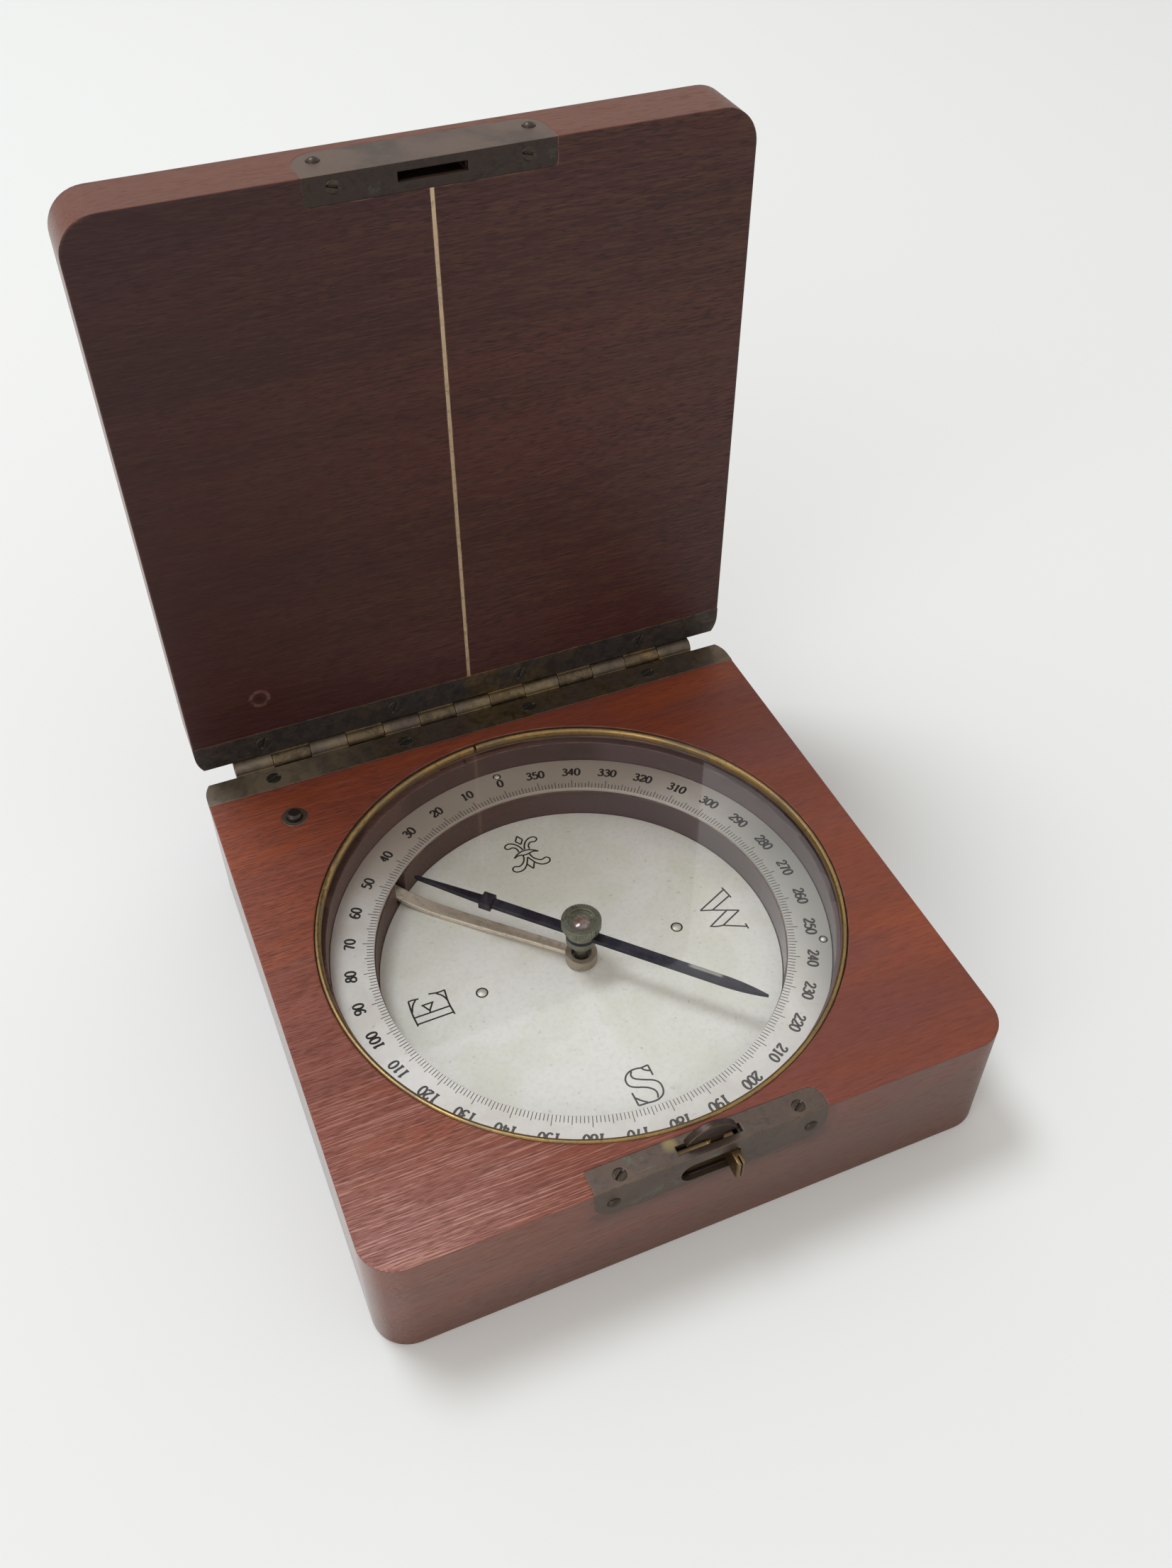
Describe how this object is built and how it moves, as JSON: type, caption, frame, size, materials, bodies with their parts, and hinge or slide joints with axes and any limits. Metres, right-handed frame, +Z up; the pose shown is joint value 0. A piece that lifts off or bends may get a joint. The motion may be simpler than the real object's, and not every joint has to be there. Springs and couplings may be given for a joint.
{
  "type": "magnetic compass",
  "caption": "Square mahogany box compass with hinged lid standing open, brass hinge, sliding latch, silvered dial under glass and a blued needle with lifter.",
  "frame": {"origin": "middle of the lower case's underside", "axes": "+Z up, +Y towards the hinge, +X to the right seen from the latch side"},
  "size_m": [0.1016, 0.1134, 0.1248],
  "materials": {
    "case_wood": "old waxed mahogany",
    "lid_wood": "dark waxed mahogany",
    "old_brass": "dark patina",
    "bright_brass": "worn",
    "silvered_brass": "matt silvered",
    "blued_steel": "blued",
    "steel": "plain",
    "glass": "clear",
    "jewel": "polished stone"
  },
  "bodies": {
    "case": {"base_case": "case_wood", "base_hinge_leaf": "old_brass", "base_hinge_screws": "old_brass", "hinge_pin": "bright_brass", "base_catch_plate": "old_brass", "base_catch_screws": "old_brass", "bezel_ring": "bright_brass", "glass_cover": "glass", "degree_ring": "silvered_brass", "degree_ring_pins": "silvered_brass", "dial_plate": "silvered_brass", "dial_plate_pins": "silvered_brass", "pivot_post": "bright_brass", "pivot_point": "steel", "lifter_fulcrum_pin": "steel", "plunger_bush": "old_brass"},
    "lid": {"lid_panel": "lid_wood", "lid_hinge_leaf": "old_brass", "lid_hinge_screws": "old_brass", "lid_sight_line": "bright_brass", "lid_catch_plate": "old_brass", "lid_catch_screws": "old_brass"},
    "latch": {"latch_bolt": "bright_brass"},
    "plunger": {"plunger_pin": "bright_brass"},
    "lifter": {"lifter_lever": "bright_brass", "lifter_collar": "bright_brass"},
    "needle": {"needle_blade": "blued_steel", "needle_cap": "bright_brass", "needle_hub_washer": "bright_brass", "cap_jewel": "jewel", "needle_rider": "blued_steel"}
  },
  "joints": [
    {"name": "lid_hinge", "type": "hinge", "parent": "case", "child": "lid", "pos_m": [0, 0.0502, 0.02315], "axis": [1, 0, 0], "range_deg": [0, 90]},
    {"name": "latch_slide", "type": "slide", "parent": "case", "child": "latch", "axis": [-1, 0, 0], "range_m": [0, 0.004]},
    {"name": "plunger_slide", "type": "slide", "parent": "case", "child": "plunger", "axis": [0, 0, -1], "range_m": [0, 0.0011]},
    {"name": "lifter_tilt", "type": "hinge", "parent": "case", "child": "lifter", "pos_m": [-0.02722, 0.02457, 0.01247], "axis": [-0.709, -0.7052, 0], "range_deg": [0, 4.25]},
    {"name": "needle_spin", "type": "hinge", "parent": "case", "child": "needle", "pos_m": [0, -0.0028, 0.017], "axis": [0, 0, 1], "continuous": true}
  ],
  "couplings": [
    {"joint": "plunger_slide", "follows": "lid_hinge", "m_per_rad": 0.0007},
    {"joint": "lifter_tilt", "follows": "lid_hinge", "ratio": 0.04666}
  ]
}
